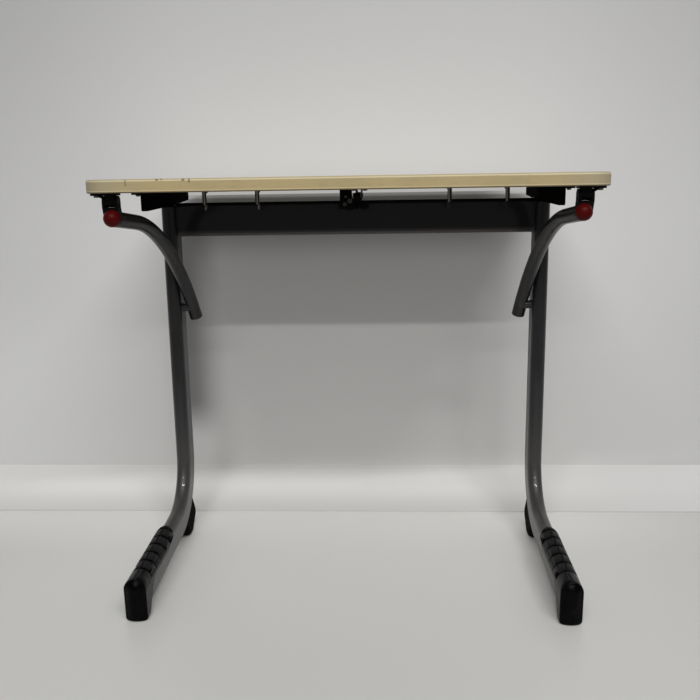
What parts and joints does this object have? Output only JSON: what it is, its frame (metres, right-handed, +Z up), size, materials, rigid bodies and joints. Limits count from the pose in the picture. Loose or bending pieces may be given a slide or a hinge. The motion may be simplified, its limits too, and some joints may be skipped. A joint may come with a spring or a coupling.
{
  "type": "tilting drawing table",
  "caption": "Free-standing single drawing table: a rounded board that tilts on front hinges, on two bent C-shaped legs with a cross beam, side arms, tilt stay and latch.",
  "frame": {"origin": "on the floor, midway between the two legs and midway between the board's long edges", "axes": "+X across the table to the sitter's right, +Y away from the sitter, +Z up"},
  "size_m": [0.7, 0.5, 0.64],
  "materials": {
    "laminate": "fine matt melamine laminate",
    "moulded_edge": "satin moulded rim, khaki beige",
    "particle_board": "raw particle board",
    "frame_paint": "satin anthracite powder coat",
    "black_paint": "satin black",
    "black_plastic": "satin moulded black",
    "red_plastic": "dark red, glossy",
    "buffer_rubber": "matt",
    "zinc": "dull zinc plate"
  },
  "bodies": {
    "frame": {"leg_left": "frame_paint", "leg_right": "frame_paint", "cross_beam": "frame_paint", "column_plug_left": "black_plastic", "column_plug_right": "black_plastic", "foot_cap_left": "black_plastic", "foot_cap_right": "black_plastic", "heel_glide_left": "black_plastic", "heel_glide_right": "black_plastic", "arm_left": "frame_paint", "arm_right": "frame_paint", "arm_boss_left": "frame_paint", "arm_boss_right": "frame_paint", "ball_cap_left": "red_plastic", "ball_cap_right": "red_plastic", "hinge_saddle_left": "black_paint", "hinge_saddle_right": "black_paint", "hinge_pin_left": "zinc", "hinge_pin_right": "zinc", "stay_bracket": "zinc", "stay_pivot_pin": "zinc", "striker_stud": "zinc"},
    "top": {"board_core": "particle_board", "top_laminate": "laminate", "backing_laminate": "laminate", "edge_moulding": "moulded_edge", "hinge_leaf_left": "zinc", "hinge_leaf_right": "zinc", "rear_carrier_left": "black_plastic", "rear_carrier_right": "black_plastic", "carrier_buffer_left": "buffer_rubber", "carrier_buffer_right": "buffer_rubber", "stay_rail": "zinc", "latch_housing": "black_plastic", "lever_pivot": "zinc", "lever_stop": "zinc", "bag_hook_1": "zinc", "bag_hook_2": "zinc", "bag_hook_3": "zinc", "bag_hook_4": "zinc", "hinge_screws": "zinc", "carrier_screws": "zinc", "hook_screws": "zinc", "rail_screws": "zinc"},
    "stay": {"tilt_stay": "zinc", "stay_slide_pin": "zinc"},
    "latch_lever": {"latch_lever": "zinc"}
  },
  "joints": [
    {"name": "tilt", "type": "hinge", "parent": "frame", "child": "top", "pos_m": [0, -0.222, 0.611], "axis": [1, 0, 0], "range_deg": [0, 16]},
    {"name": "stay_swing", "type": "hinge", "parent": "frame", "child": "stay", "pos_m": [0.006, 0.056, 0.609], "axis": [1, 0, 0], "range_deg": [0, 48]},
    {"name": "latch_turn", "type": "hinge", "parent": "top", "child": "latch_lever", "pos_m": [-0.005, 0.03695, 0.602], "axis": [0, 1, 0], "range_deg": [0, 35]}
  ],
  "couplings": [
    {"joint": "stay_swing", "follows": "tilt", "ratio": 2.9}
  ]
}
